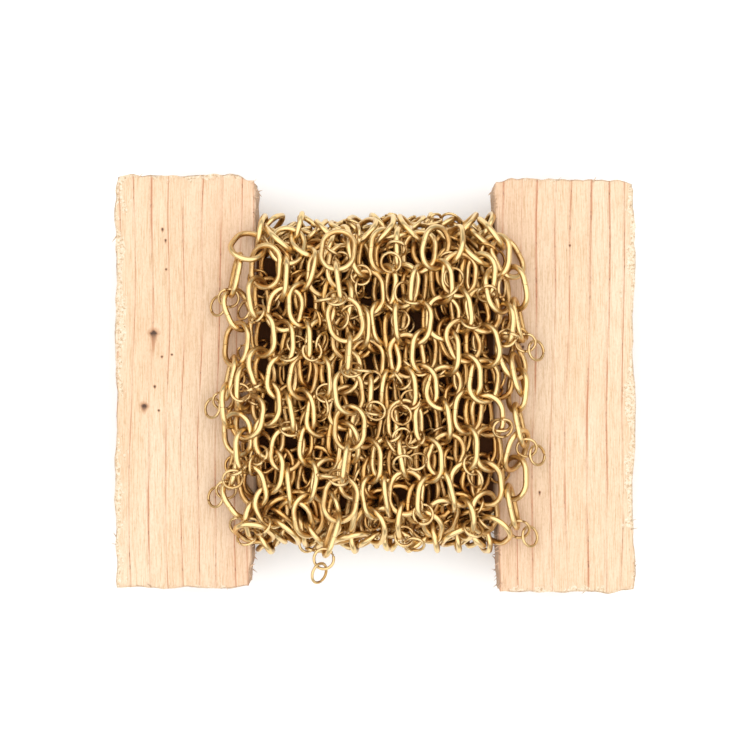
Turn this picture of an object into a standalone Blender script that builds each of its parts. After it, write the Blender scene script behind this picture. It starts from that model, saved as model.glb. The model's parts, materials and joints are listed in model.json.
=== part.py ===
"""Watch chain wound on an H-shaped board, lying flat: X across the cheeks, Y along the strands, +Z up."""

import math

import bmesh
import bpy
from mathutils import Matrix, Vector

# Winding board, in metres: one sawn H, two cheeks joined by a waist that the chain is wound round.
BOARD_LENGTH = 0.100
BOARD_HEIGHT = 0.080
BOARD_THICKNESS = 0.012
CHEEK_WIDTH = 0.0267
WAIST_HEIGHT = 0.048
BOARD_EDGE_EASE = 0.0007
BOARD_CORNER_RADIUS = 0.0012

# Chain stock: large oval links, and a pair of small round rings that dangles at some of their joints.
OVAL_LENGTH = 0.0092
OVAL_WIDTH = 0.0072
OVAL_WIRE = 0.00105
RING_DIAMETER = 0.0043
RING_WIRE = 0.0006
WIRE_CLEARANCE = 0.0003
OVAL_ARC_STEPS = 9
RING_STEPS = 14

# Winding: an inner sleeve of chain, then the outer turns side by side.
REST_GAP = 0.0003
INNER_WINDING_DEPTH = 0.0036
OUTER_WINDING_DEPTH = 0.0033
TURN_COUNT = 12
TURN_GAP = 0.0004
SUNKEN_TURN_DEPTH = 0.0008
FACE_SPREAD = 0.10
WAIST_EDGE_RADIUS = 0.0007
CORNER_STEPS = 4
FACE_STEPS = 8

# Free end, link by link: degrees it heads from -Y towards +X, and degrees it is rolled from lying flat.
FREE_LINKS = ((8, 90), (13, 6), (-4, 86), (6, -36), (-3, 26), (-8, 96), (-10, 12), (-18, 80))
FREE_START_X = -0.0073
FREE_START_SETBACK = 0.0096
FIXED_HEADING = -6
FIXED_ROLL = 4
FIXED_RISE = 24

# Ring pairs of the free end: the links that have one, and the side that it drapes over (1 is -X, -1 is +X).
FREE_RING_PAIRS = {1: 1, 3: -1, 6: 1}
FREE_PAIR_DEGREES = 58
FREE_PAIR_RISE = 0.1
FREE_PAIR_SPLAY = 0.55
FREE_PAIR_TILTS = (-12, -24)
TIP_PAIR_TILTS = (20, 30)

# Side links stand on the cheeks against the outermost turns: the cheek (-1 left, 1 right) and the middle's Y.
SIDE_LINKS = {
    "left_upper": (-1, 0.0205),
    "left_middle": (-1, 0.0010),
    "left_lower": (-1, -0.0160),
    "right_upper": (1, 0.0120),
    "right_middle": (1, -0.0080),
    "right_lower": (1, -0.0235),
}
SIDE_ROLL = 78
SIDE_HEADING = 12
SIDE_PAIR_HANGS = ((0.75, -0.6, -0.3), (0.7, -0.35, -0.5))
SIDE_PAIR_TILTS = (10, 40)

HALF_THICKNESS = BOARD_THICKNESS / 2
HALF_GAP = BOARD_LENGTH / 2 - CHEEK_WIDTH
INNER_START = REST_GAP
INNER_END = INNER_START + INNER_WINDING_DEPTH
OUTER_START = INNER_END + REST_GAP
OUTER_END = OUTER_START + OUTER_WINDING_DEPTH
WINDING_HALF_WIDTH = HALF_GAP - REST_GAP
MIDDLE_Z = HALF_THICKNESS + OUTER_END
CHEEK_TOP_Z = MIDDLE_Z + HALF_THICKNESS
WINDING_END_Y = WAIST_HEIGHT / 2 + OUTER_END
SUNKEN_TOP_Z = MIDDLE_Z + HALF_THICKNESS + OUTER_START + SUNKEN_TURN_DEPTH
OVAL_PITCH = OVAL_LENGTH - 2 * OVAL_WIRE - WIRE_CLEARANCE
WIRE_REACH = (OVAL_WIRE + WIRE_CLEARANCE) / 2
FREE_Z = SUNKEN_TOP_Z + REST_GAP + OVAL_WIDTH / 2
OVAL_BEND = (OVAL_WIDTH - OVAL_WIRE) / 2
OVAL_REACH = (OVAL_LENGTH - OVAL_WIRE) / 2
RING_RADIUS = (RING_DIAMETER - RING_WIRE) / 2
UP = Vector((0, 0, 1))


def clear_scene():
    for obj in list(bpy.data.objects):
        bpy.data.objects.remove(obj, do_unlink=True)


def material(name, colour, roughness, metallic):
    made = bpy.data.materials.new(name)
    made.use_nodes = True
    shader = made.node_tree.nodes["Principled BSDF"]
    shader.inputs["Base Color"].default_value = (*colour, 1.0)
    shader.inputs["Roughness"].default_value = roughness
    shader.inputs["Metallic"].default_value = metallic
    made.diffuse_color = (*colour, 1.0)
    return made


def softwood():
    return material("sawn_softwood", (0.86, 0.66, 0.46), 0.7, 0.0)


def antique_brass(name):
    return material(name, (0.55, 0.38, 0.16), 0.3, 1.0)


def add_object(name, data, finish, place=None):
    obj = bpy.data.objects.new(name, data)
    data.materials.append(finish)
    obj.matrix_world = place or Matrix.Identity(4)
    bpy.context.scene.collection.objects.link(obj)
    return obj


def mesh_from(name, corners, faces):
    shape = bmesh.new()
    points = [shape.verts.new(corner) for corner in corners]
    for face in faces:
        shape.faces.new([points[i] for i in face])
    bmesh.ops.recalc_face_normals(shape, faces=shape.faces[:])
    mesh = bpy.data.meshes.new(name)
    shape.to_mesh(mesh)
    shape.free()
    return mesh


def make_winding_board():
    """The H outline, extruded upwards through its thickness."""
    x, y = BOARD_LENGTH / 2, BOARD_HEIGHT / 2
    inner_x, waist_y = HALF_GAP, WAIST_HEIGHT / 2
    outline = [
        (x, -y), (x, y), (inner_x, y), (inner_x, waist_y), (-inner_x, waist_y), (-inner_x, y),
        (-x, y), (-x, -y), (-inner_x, -y), (-inner_x, -waist_y), (inner_x, -waist_y), (inner_x, -y),
    ]
    shape = bmesh.new()
    rim = [shape.verts.new((px, py, -HALF_THICKNESS)) for px, py in outline]
    sheet = shape.faces.new(rim)
    upright = bmesh.ops.extrude_face_region(shape, geom=[sheet])["geom"]
    lifted = [item for item in upright if isinstance(item, bmesh.types.BMVert)]
    bmesh.ops.translate(shape, verts=lifted, vec=(0, 0, BOARD_THICKNESS))
    shape.edges.ensure_lookup_table()
    outer_corners = [
        edge for edge in shape.edges
        if abs(edge.verts[0].co.z - edge.verts[1].co.z) > HALF_THICKNESS
        and abs(abs(edge.verts[0].co.y) - y) < 1e-6
    ]
    bmesh.ops.bevel(
        shape, geom=outer_corners, offset=BOARD_CORNER_RADIUS, segments=2, profile=0.5, affect="EDGES"
    )
    bmesh.ops.recalc_face_normals(shape, faces=shape.faces[:])
    arrises = [edge for edge in shape.edges if edge.is_convex and edge.calc_face_angle() > math.radians(60)]
    bmesh.ops.bevel(shape, geom=arrises, offset=BOARD_EDGE_EASE, segments=1, profile=0.5, affect="EDGES")
    mesh = bpy.data.meshes.new("winding_board")
    shape.to_mesh(mesh)
    shape.free()
    add_object("winding_board", mesh, softwood(), Matrix.Translation((0, 0, MIDDLE_Z)))


def loop_section(depth_from_waist, half_width_z, corner_radius):
    """Points (y, z) round a rounded rectangle that lies depth_from_waist outside the waist."""
    half_y = WAIST_HEIGHT / 2 + depth_from_waist
    straight_y, straight_z = half_y - corner_radius, half_width_z - corner_radius
    points = []
    for corner, (cy, cz) in enumerate(((1, 1), (-1, 1), (-1, -1), (1, -1))):
        for step in range(CORNER_STEPS + 1):
            angle = math.pi / 2 * (corner + step / CORNER_STEPS)
            points.append((
                cy * straight_y + corner_radius * math.cos(angle),
                cz * straight_z + corner_radius * math.sin(angle),
            ))
        if corner in (0, 2):
            first = points[-1]
            last_y = -cy * straight_y
            for step in range(1, FACE_STEPS):
                points.append((first[0] + (last_y - first[0]) * step / FACE_STEPS, first[1]))
    return points


def spread_at(y):
    """How much wider the winding lies over the faces than between the cheeks: most at mid-height."""
    reach = WAIST_HEIGHT / 2 + INNER_END
    inside = max(0.0, 1 - (y / reach) ** 2)
    return 1 + FACE_SPREAD * inside ** 1.5


def make_loop(name, x_low, x_high, start, end, finish, front_end=OUTER_END, spreads=True):
    """A closed band round the waist from depth start to end, its front face no higher than front_end."""
    inner = loop_section(start, HALF_THICKNESS + start, WAIST_EDGE_RADIUS + start)
    outer = loop_section(end, HALF_THICKNESS + end, WAIST_EDGE_RADIUS + end)
    front_limit = HALF_THICKNESS + front_end
    corners = []
    for (iy, iz), (oy, oz) in zip(inner, outer):
        share = spread_at(iy) if spreads else 1.0
        top_z = min(oz, front_limit)
        corners += [
            (x_low * share, iy, iz), (x_high * share, iy, iz),
            (x_high * share, oy, top_z), (x_low * share, oy, top_z),
        ]
    faces = []
    count = len(inner)
    for i in range(count):
        here, there = 4 * i, 4 * ((i + 1) % count)
        for side in range(4):
            after = (side + 1) % 4
            faces.append((here + side, here + after, there + after, there + side))
    mesh = mesh_from(name, corners, faces)
    return add_object(name, mesh, finish, Matrix.Translation((0, 0, MIDDLE_Z)))


def heading_from(degrees, rise=0.0):
    """A direction degrees from -Y towards +X, climbing by rise degrees."""
    turn, climb = math.radians(degrees), math.radians(rise)
    return Vector((math.sin(turn) * math.cos(climb), -math.cos(turn) * math.cos(climb), math.sin(climb)))


def rolled(heading, roll):
    """Side and normal of a link that runs along heading, rolled by roll degrees from lying flat."""
    flat_side = heading.cross(UP).normalized() * -1
    upright = flat_side.cross(heading).normalized()
    turn = Matrix.Rotation(math.radians(roll), 3, heading)
    return turn @ flat_side, turn @ upright


def free_links():
    """The free links in order: the joint that each starts from, its heading and its roll."""
    start = Vector((FREE_START_X, WINDING_END_Y - FREE_START_SETBACK, FREE_Z))
    for degrees, roll in FREE_LINKS:
        heading = heading_from(degrees)
        yield start, heading, roll
        start = start + heading * OVAL_PITCH


def free_end_width():
    """Lowest and highest X of the free links, with the gap that they keep."""
    low, high = [], []
    for start, heading, roll in free_links():
        side, _ = rolled(heading, roll)
        middle = start.x + heading.x * OVAL_PITCH / 2
        reach = abs(side.x) * OVAL_BEND + abs(heading.x) * OVAL_REACH + OVAL_WIRE / 2 + REST_GAP
        low.append(middle - reach)
        high.append(middle + reach)
    return min(low), max(high)


def make_winding():
    """The inner sleeve and the outer turns; the turns under the free end lie low in front."""
    make_loop(
        "inner_winding", -WINDING_HALF_WIDTH, WINDING_HALF_WIDTH, INNER_START, INNER_END,
        antique_brass("inner_chain_brass"), spreads=False,
    )
    free_low, free_high = free_end_width()
    widest = 1 + FACE_SPREAD
    spacing = (2 * WINDING_HALF_WIDTH + TURN_GAP) / TURN_COUNT
    for turn in range(1, TURN_COUNT + 1):
        x_low = -WINDING_HALF_WIDTH + (turn - 1) * spacing
        x_high = x_low + spacing - TURN_GAP
        under_free_end = min(x_low, x_low * widest) < free_high and max(x_high, x_high * widest) > free_low
        front = OUTER_START + SUNKEN_TURN_DEPTH if under_free_end else OUTER_END
        make_loop(
            f"outer_winding_turn_{turn:02d}", x_low, x_high, OUTER_START, OUTER_END,
            antique_brass(f"turn_{turn:02d}_brass"), front_end=front,
        )


def wire_loop(name, points, wire, finish, place):
    """A closed length of round wire through the points, which are local to place."""
    curve = bpy.data.curves.new(name, "CURVE")
    curve.dimensions = "3D"
    curve.bevel_depth = wire / 2
    curve.bevel_resolution = 1
    spline = curve.splines.new("POLY")
    spline.points.add(len(points) - 1)
    for point, spot in zip(points, spline.points):
        spot.co = (*point, 1.0)
    spline.use_cyclic_u = True
    return add_object(name, curve, finish, place)


def oval_points(centre):
    """An oval link's centreline about centre: long way along local Y, flat in local XY."""
    straight = OVAL_REACH - OVAL_BEND
    points = []
    for end in (1, -1):
        for step in range(OVAL_ARC_STEPS + 1):
            angle = math.pi * step / OVAL_ARC_STEPS
            points.append(centre + end * Vector((
                OVAL_BEND * math.cos(angle), straight + OVAL_BEND * math.sin(angle), 0,
            )))
    return points


def frame_of(origin, side, along, normal):
    place = Matrix((side, along, normal)).transposed().to_4x4()
    place.translation = origin
    return place


def lifting_axis(axis, along):
    """The joint axis, turned so that a positive swing lifts what lies along it."""
    return axis if axis.cross(along).z >= 0 else -axis


def make_oval(name, start, heading, roll, finish):
    """A link from the joint at start to the next one along heading; its origin is the joint it swings on."""
    side, normal = rolled(heading, roll)
    local_centre = Vector((0, OVAL_PITCH / 2, 0))
    place = frame_of(start, side, heading, normal)
    link = wire_loop(name, oval_points(local_centre), OVAL_WIRE, finish, place)
    link["swing_axis"] = lifting_axis(heading.cross(UP).normalized(), heading)
    return {"side": side, "heading": heading, "end_wire": start + heading * (OVAL_PITCH + WIRE_REACH)}


def point_on_end(link, degrees):
    """A point on the link's far end wire, degrees round from its tip, with the wire's direction there."""
    angle = math.radians(degrees)
    centre = link["end_wire"] - link["heading"] * OVAL_BEND
    point = centre + (link["heading"] * math.cos(angle) + link["side"] * math.sin(angle)) * OVAL_BEND
    tangent = link["side"] * math.cos(angle) - link["heading"] * math.sin(angle)
    return point, tangent


def ring_points(centre):
    return [
        centre + Vector((math.cos(turn), math.sin(turn), 0)) * RING_RADIUS
        for turn in (2 * math.pi * step / RING_STEPS for step in range(RING_STEPS))
    ]


def make_ring(name, pivot, wire_direction, inner_wire, hang, tilt, finish):
    """A small ring hanging along hang from a wire through pivot; tilt turns it about that line."""
    hang = hang.normalized()
    slant = abs(hang.dot(wire_direction))
    wires_apart = ((inner_wire + RING_WIRE) / 2 + WIRE_CLEARANCE) / math.sqrt(1 - slant ** 2)
    offset = RING_RADIUS - wires_apart
    across = (wire_direction - hang * hang.dot(wire_direction)).normalized()
    normal = Matrix.Rotation(math.radians(tilt), 3, hang) @ across
    place = frame_of(pivot, hang.cross(normal), hang, normal)
    ring = wire_loop(name, ring_points(Vector((0, offset, 0))), RING_WIRE, finish, place)
    ring["swing_axis"] = lifting_axis(wire_direction.normalized(), hang)
    return {"hang": hang, "normal": normal, "far_wire": pivot + hang * (offset + RING_RADIUS)}


def make_ring_pair(name, link, degrees, hangs, tilts):
    """Ring one round the link's end wire and ring two through ring one."""
    point, tangent = point_on_end(link, degrees)
    first = make_ring(
        f"{name}_ring_one", point, tangent, OVAL_WIRE, hangs[0], tilts[0],
        antique_brass(f"{name}_ring_one_brass"),
    )
    wire_direction = first["normal"].cross(first["hang"])
    make_ring(
        f"{name}_ring_two", first["far_wire"], wire_direction, RING_WIRE, hangs[1], tilts[1],
        antique_brass(f"{name}_ring_two_brass"),
    )


def make_free_end():
    """One link fixed in the winding, then the free links down the front, some with a dangling ring pair."""
    first_start, _, _ = next(free_links())
    fixed_way = heading_from(FIXED_HEADING, FIXED_RISE)
    fixed_start = first_start - fixed_way * OVAL_PITCH
    make_oval("fixed_link", fixed_start, fixed_way, FIXED_ROLL, antique_brass("fixed_link_brass"))
    for number, (start, heading, roll) in enumerate(free_links(), start=1):
        name = f"free_link_{number}"
        link = make_oval(name, start, heading, roll, antique_brass(f"{name}_brass"))
        if number in FREE_RING_PAIRS:
            way = FREE_RING_PAIRS[number]
            across = heading.cross(UP) * way
            upper_side = math.copysign(FREE_PAIR_DEGREES, link["side"].z)
            hangs = (across + UP * FREE_PAIR_RISE, across * FREE_PAIR_SPLAY - UP)
            make_ring_pair(name, link, upper_side, hangs, [tilt * way for tilt in FREE_PAIR_TILTS])
        if number == len(FREE_LINKS):
            make_ring_pair(name, link, 0, (heading, heading), TIP_PAIR_TILTS)


def make_side_links():
    """Links at the edge of the winding, standing on a cheek, each with a ring pair hanging outwards."""
    lean, splay = math.radians(SIDE_ROLL), math.radians(SIDE_HEADING)
    stand_off = OVAL_BEND * math.cos(lean) + OVAL_REACH * math.sin(splay) + OVAL_WIRE / 2 + REST_GAP
    height = OVAL_BEND * math.sin(lean) + OVAL_WIRE / 2 + REST_GAP
    for place, (way, middle_y) in SIDE_LINKS.items():
        widest = max(spread_at(middle_y + shift * OVAL_REACH) for shift in (-1, 0, 1))
        middle = Vector((way * (WINDING_HALF_WIDTH * widest + stand_off), middle_y, CHEEK_TOP_Z + height))
        heading = heading_from(way * SIDE_HEADING)
        name = f"side_link_{place}"
        start = middle - heading * OVAL_PITCH / 2
        link = make_oval(name, start, heading, -way * SIDE_ROLL, antique_brass(f"{name}_brass"))
        hangs = [Vector((way * x, y, z)) for x, y, z in SIDE_PAIR_HANGS]
        make_ring_pair(name, link, 0, hangs, [tilt * way for tilt in SIDE_PAIR_TILTS])


clear_scene()
make_winding_board()
make_winding()
make_free_end()
make_side_links()
bpy.context.view_layer.update()
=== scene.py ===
"""A length of antiqued brass watch chain, wound for sale on an H-shaped softwood winding board."""

import json
import math

import bpy
import numpy as np
from mathutils import Matrix, Vector

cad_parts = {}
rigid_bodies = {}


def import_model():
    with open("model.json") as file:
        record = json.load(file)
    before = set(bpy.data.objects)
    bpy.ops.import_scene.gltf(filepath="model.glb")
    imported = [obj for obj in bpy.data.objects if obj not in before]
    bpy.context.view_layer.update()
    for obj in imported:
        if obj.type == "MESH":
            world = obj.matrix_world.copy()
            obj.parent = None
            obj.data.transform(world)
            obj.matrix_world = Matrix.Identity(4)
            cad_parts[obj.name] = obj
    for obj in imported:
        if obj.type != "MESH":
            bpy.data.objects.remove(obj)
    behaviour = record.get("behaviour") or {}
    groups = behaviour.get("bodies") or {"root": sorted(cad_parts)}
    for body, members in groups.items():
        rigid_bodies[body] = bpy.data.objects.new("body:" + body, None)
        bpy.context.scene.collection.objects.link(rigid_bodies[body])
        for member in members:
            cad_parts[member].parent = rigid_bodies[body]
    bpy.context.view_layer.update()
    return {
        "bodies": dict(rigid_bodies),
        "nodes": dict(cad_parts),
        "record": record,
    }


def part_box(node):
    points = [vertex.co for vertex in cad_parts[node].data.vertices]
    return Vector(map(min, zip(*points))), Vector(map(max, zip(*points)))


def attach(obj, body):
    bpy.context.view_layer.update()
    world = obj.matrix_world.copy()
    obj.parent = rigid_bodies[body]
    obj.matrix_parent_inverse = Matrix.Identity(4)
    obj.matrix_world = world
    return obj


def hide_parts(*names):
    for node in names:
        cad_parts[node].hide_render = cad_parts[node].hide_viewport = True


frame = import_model()


# ---- Winding board ------------------------------------------------------------------------
# One flat piece of pale softwood, its grain running along the strands. It is sawn to an H by
# hand, so the edges wander a little, keep their saw marks and fray into splinters.

board_low, board_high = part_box("winding_board")
turn_low, turn_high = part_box("outer_winding_turn_01")
inner_low, inner_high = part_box("inner_winding")
CAD_GAP = 0.0003
BOARD_MIDDLE_Z = (board_low.z + board_high.z) / 2
HALF_THICKNESS = (board_high.z - board_low.z) / 2
WINDING_DEPTH = turn_high.z - board_high.z
WAIST_HALF = turn_high.y - WINDING_DEPTH
CHEEK_INNER_X = inner_high.x + CAD_GAP

GRID_ACROSS_CHEEK = 0.0005
GRID_ACROSS_WAIST = 0.0020
GRID_ALONG = 0.0008
ARRIS = 0.0003
EDGE_LEVELS = (0.0, 0.0003, 0.0014, 0.0030, 0.0046, 0.0062, 0.0078, 0.0094, 0.0108, 0.0117, 0.0120)


def put(tree, kind, sockets=None, **settings):
    """Adds a node, sets it up, and feeds its sockets with values or with other nodes' outputs."""
    node = tree.nodes.new(kind)
    for name, value in settings.items():
        setattr(node, name, value)
    for name, value in (sockets or {}).items():
        socket = node.inputs[name]
        if isinstance(value, bpy.types.NodeSocket):
            tree.links.new(value, socket)
        else:
            socket.default_value = value
    return node


def sum_of(tree, operation, first, second=0.0, third=0.0):
    """A Math node's result."""
    return put(tree, "ShaderNodeMath", {0: first, 1: second, 2: third}, operation=operation).outputs[0]


def ramp(tree, amount, stops):
    """A Color Ramp through (place, colour) stops."""
    node = put(tree, "ShaderNodeValToRGB", {0: amount})
    elements = node.color_ramp.elements
    while len(elements) < len(stops):
        elements.new(0.5)
    for element, (place, colour) in zip(elements, stops):
        element.position = place
        element.color = (*colour, 1.0)
    return node.outputs[0]


def grey(level):
    """A colour with three equal parts."""
    return (level, level, level)


def blend_colour(tree, amount, first, second, blend_type="MIX"):
    """A Mix Color node's result."""
    return put(
        tree, "ShaderNodeMix", {0: amount, 6: first, 7: second}, data_type="RGBA", blend_type=blend_type
    ).outputs[2]


def new_finish(name):
    """An empty node material, its shader and the piece's own coordinates in millimetres."""
    made = bpy.data.materials.new(name)
    made.use_nodes = True
    tree = made.node_tree
    shader = tree.nodes["Principled BSDF"]
    own = put(tree, "ShaderNodeTexCoord").outputs["Object"]
    in_mm = put(tree, "ShaderNodeMapping", {"Vector": own, "Scale": (1000, 1000, 1000)}).outputs[0]
    return made, tree, shader, in_mm


def stretched(tree, vector, x, y, z):
    """Coordinates with a scale of their own along each axis."""
    return put(tree, "ShaderNodeMapping", {"Vector": vector, "Scale": (x, y, z)}).outputs[0]


def noise(tree, vector, scale=1.0, detail=2.0, roughness=0.5):
    """A Noise Texture's value."""
    return put(
        tree, "ShaderNodeTexNoise",
        {"Vector": vector, "Scale": scale, "Detail": detail, "Roughness": roughness},
    ).outputs[0]


PALE_WOOD = ((0.3, (0.630, 0.450, 0.298)), (0.5, (0.663, 0.502, 0.349)), (0.72, (0.684, 0.550, 0.405)))
WOOD_BY_CHAIN = (0.630, 0.426, 0.302, 1.0)
LATE_WOOD = (0.43, 0.175, 0.09, 1.0)
PORE_BROWN = (0.15, 0.075, 0.05, 1.0)
FLECK_BROWN = (0.33, 0.165, 0.09, 1.0)
KNOT_HALO = (0.42, 0.21, 0.11, 1.0)
KNOT_HEART = (0.07, 0.042, 0.032, 1.0)
# Painted shade: the near-black brown given to the waist under the chain.
PAINTED_SHADE_UNDER_CHAIN = (0.055, 0.018, 0.004, 1.0)
KNOTS = (
    (-42.5, 9.4, 0.85, 0.30), (-44.3, -4.6, 0.72, 0.75), (-40.9, 5.0, 0.24, 0.8), (-39.0, 5.4, 0.22, 1.0),
    (-42.3, -0.7, 0.27, 0.7), (-41.5, -5.3, 0.22, 0.8), (-40.8, 29.5, 0.26, 0.5), (-40.2, 27.4, 0.22, 0.4),
    (-40.1, 21.8, 0.20, 0.6), (31.6, -21.0, 0.24, 0.4), (28.4, 6.9, 0.26, 0.5), (37.4, 26.4, 0.20, 0.5),
)


def growth_lines(tree, place, x):
    """Thin lines of late wood along the grain, unevenly spaced and broken."""
    sway = noise(tree, stretched(tree, place, 0.03, 0.012, 0.05), detail=2.0)
    ring_x = sum_of(tree, "MULTIPLY_ADD", sway, 5.0, x)
    across = put(tree, "ShaderNodeCombineXYZ", {0: ring_x}).outputs[0]
    uneven = noise(tree, stretched(tree, across, 0.22, 1, 1))
    rings = sum_of(tree, "MULTIPLY_ADD", uneven, 1.25, sum_of(tree, "MULTIPLY", ring_x, 0.31))
    line = ramp(tree, sum_of(tree, "FRACT", rings), (
        (0.0, grey(0.6)), (0.02, grey(0.0)), (0.70, grey(0.02)),
        (0.90, grey(0.16)), (0.945, grey(0.95)), (1.0, grey(1.0)),
    ))
    broken = noise(tree, stretched(tree, place, 1.4, 0.07, 1.4), detail=3.0)
    broken = ramp(tree, broken, ((0.36, grey(0.12)), (0.60, grey(1.0))))
    return sum_of(tree, "MULTIPLY", line, broken)


def with_fibres(tree, base, place, fibre, line):
    """The base colour with fibres, mottle, growth lines, the pores in them and small resin flecks."""
    fibre_tone = ramp(tree, fibre, (
        (0.36, (0.80, 0.70, 0.58)), (0.5, (0.98, 0.96, 0.94)), (0.66, (1.06, 1.06, 1.06)),
    ))
    base = blend_colour(tree, 0.8, base, fibre_tone, "MULTIPLY")
    mottle = noise(tree, stretched(tree, place, 3.4, 1.5, 3.4), detail=4.0, roughness=0.7)
    mottle = ramp(tree, mottle, (
        (0.33, (0.87, 0.84, 0.80)), (0.48, (1.0, 0.995, 0.99)), (0.65, (1.05, 1.06, 1.08)),
    ))
    base = blend_colour(tree, 0.75, base, mottle, "MULTIPLY")
    base = blend_colour(tree, sum_of(tree, "MULTIPLY", line, 0.85), base, LATE_WOOD)
    pore = noise(tree, stretched(tree, place, 3.2, 0.9, 3.2), detail=2.0)
    pore = ramp(tree, pore, ((0.60, grey(0.0)), (0.68, grey(1.0))))
    pore = sum_of(tree, "MULTIPLY", sum_of(tree, "MULTIPLY", pore, line), 0.7)
    base = blend_colour(tree, pore, base, PORE_BROWN)
    fleck = noise(tree, stretched(tree, place, 4.2, 0.42, 4.2), detail=2.0, roughness=0.6)
    fleck = ramp(tree, fleck, ((0.71, grey(0.0)), (0.77, grey(1.0))))
    return blend_colour(tree, sum_of(tree, "MULTIPLY", fleck, 0.5), base, FLECK_BROWN)


def torn_strips(tree, place, x, y):
    """Where the saw tore the wood: ragged strips along the outer sides and the ends."""
    from_edge = sum_of(tree, "SUBTRACT", board_high.x * 1000, sum_of(tree, "ABSOLUTE", x))
    from_end = sum_of(tree, "SUBTRACT", board_high.y * 1000, sum_of(tree, "ABSOLUTE", y))
    ragged = noise(tree, stretched(tree, place, 0.5, 0.16, 0.5), detail=4.0, roughness=0.65)
    torn_side = sum_of(tree, "LESS_THAN", from_edge, sum_of(tree, "MULTIPLY_ADD", ragged, 11.0, -4.2))
    torn_end = sum_of(tree, "LESS_THAN", from_end, sum_of(tree, "MULTIPLY_ADD", ragged, 7.0, -3.0))
    return sum_of(tree, "MAXIMUM", torn_side, torn_end)


def with_knots(tree, base, place, x, y):
    """Pin knots, each given by its place, size and how fast its tail down the grain thins out, in mm."""
    fray = sum_of(tree, "SUBTRACT", noise(tree, place, 1.8, 3.0), 0.5)
    for knot_x, knot_y, size, tail in KNOTS:
        beside = sum_of(tree, "SUBTRACT", x, knot_x)
        above = sum_of(tree, "SUBTRACT", y, knot_y)
        below = sum_of(tree, "MAXIMUM", sum_of(tree, "MULTIPLY", above, -1.0), 0.0)
        high = sum_of(tree, "MULTIPLY_ADD", below, tail, sum_of(tree, "MAXIMUM", above, 0.0))
        wide = sum_of(tree, "MULTIPLY", beside, sum_of(tree, "MULTIPLY_ADD", below, 0.9, 1.0))
        square = sum_of(tree, "MULTIPLY_ADD", wide, wide, sum_of(tree, "MULTIPLY", high, high))
        way = sum_of(tree, "MULTIPLY_ADD", fray, size * 0.7, sum_of(tree, "SQRT", square))
        darkest = sum_of(tree, "MULTIPLY", sum_of(tree, "POWER", 0.30, below), 0.95)
        spot = {0: way, 1: size, 2: size * 0.5, 3: 0.0, 4: darkest}
        halo = {0: way, 1: size * 1.7, 2: size * 0.9, 3: 0.0, 4: 0.75}
        for reach, colour in ((halo, KNOT_HALO), (spot, KNOT_HEART)):
            amount = put(tree, "ShaderNodeMapRange", reach).outputs[0]
            base = blend_colour(tree, amount, base, colour)
    return base


def softwood():
    """Pale sawn softwood, darker on its sawn sides and ends, darker and redder towards the chain, with painted
    shade on the waist under the chain.
    """
    made, tree, shader, place = new_finish("sawn_softwood")
    x, y, _ = put(tree, "ShaderNodeSeparateXYZ", {0: place}).outputs
    line = growth_lines(tree, place, x)
    tone = noise(tree, stretched(tree, place, 0.10, 0.025, 0.10), detail=3.0)
    near_chain = put(
        tree, "ShaderNodeMapRange",
        {0: sum_of(tree, "ABSOLUTE", x), 1: 40.0, 2: 22.0, 3: 0.0, 4: 0.42}, interpolation_type="SMOOTHSTEP",
    ).outputs[0]
    base = blend_colour(tree, near_chain, ramp(tree, tone, PALE_WOOD), WOOD_BY_CHAIN)
    fibre = noise(tree, stretched(tree, place, 5.5, 0.22, 5.5), detail=4.0, roughness=0.65)
    base = with_fibres(tree, base, place, fibre, line)
    torn = torn_strips(tree, place, x, y)
    grain_dust = noise(tree, place, 1.7, detail=5.0, roughness=0.75)
    torn_tone = ramp(tree, grain_dust, (
        (0.40, (0.32, 0.19, 0.10)), (0.45, (0.60, 0.47, 0.31)),
        (0.52, (0.70, 0.62, 0.46)), (0.60, (0.78, 0.74, 0.64)),
    ))
    base = blend_colour(tree, sum_of(tree, "MULTIPLY", torn, 0.55), base, torn_tone)
    base = with_knots(tree, base, place, x, y)
    normal = put(tree, "ShaderNodeNewGeometry").outputs["Normal"]
    facing = put(tree, "ShaderNodeSeparateXYZ", {0: normal}).outputs
    saw = noise(tree, stretched(tree, place, 0.8, 0.8, 6.0), detail=3.0)
    sawn = ramp(tree, saw, ((0.35, (0.27, 0.155, 0.09)), (0.65, (0.50, 0.335, 0.215))))
    for way, amount in ((1, 0.75), (0, 0.6)):
        turned = sum_of(tree, "POWER", sum_of(tree, "ABSOLUTE", facing[way]), 2.0)
        base = blend_colour(tree, sum_of(tree, "MULTIPLY", turned, amount), base, sawn)
    # Painted shade: the waist, seen only through gaps in the chain, is coloured near-black brown to stand in
    # for the deep shade there.
    waist_x = put(
        tree, "ShaderNodeMapRange", {0: sum_of(tree, "ABSOLUTE", x), 1: 23.6, 2: 22.6, 3: 0.0, 4: 1.0}
    ).outputs[0]
    waist_y = sum_of(tree, "LESS_THAN", sum_of(tree, "ABSOLUTE", y), WAIST_HALF * 1000 + 0.6)
    base = blend_colour(tree, sum_of(tree, "MULTIPLY", waist_x, waist_y), base, PAINTED_SHADE_UNDER_CHAIN)
    shader.inputs["Specular IOR Level"].default_value = 0.1
    tree.links.new(base, shader.inputs["Base Color"])
    rough = ramp(tree, fibre, ((0.3, grey(0.78)), (0.7, grey(0.58))))
    tree.links.new(rough, shader.inputs["Roughness"])
    height = sum_of(tree, "MULTIPLY_ADD", line, 0.5, sum_of(tree, "MULTIPLY", fibre, 0.9))
    height = sum_of(tree, "MULTIPLY_ADD", sum_of(tree, "MULTIPLY", torn, grain_dust), 5.0, height)
    bump = put(tree, "ShaderNodeBump", {"Strength": 0.35, "Distance": 0.00012, "Height": height})
    tree.links.new(bump.outputs[0], shader.inputs["Normal"])
    return made


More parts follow.
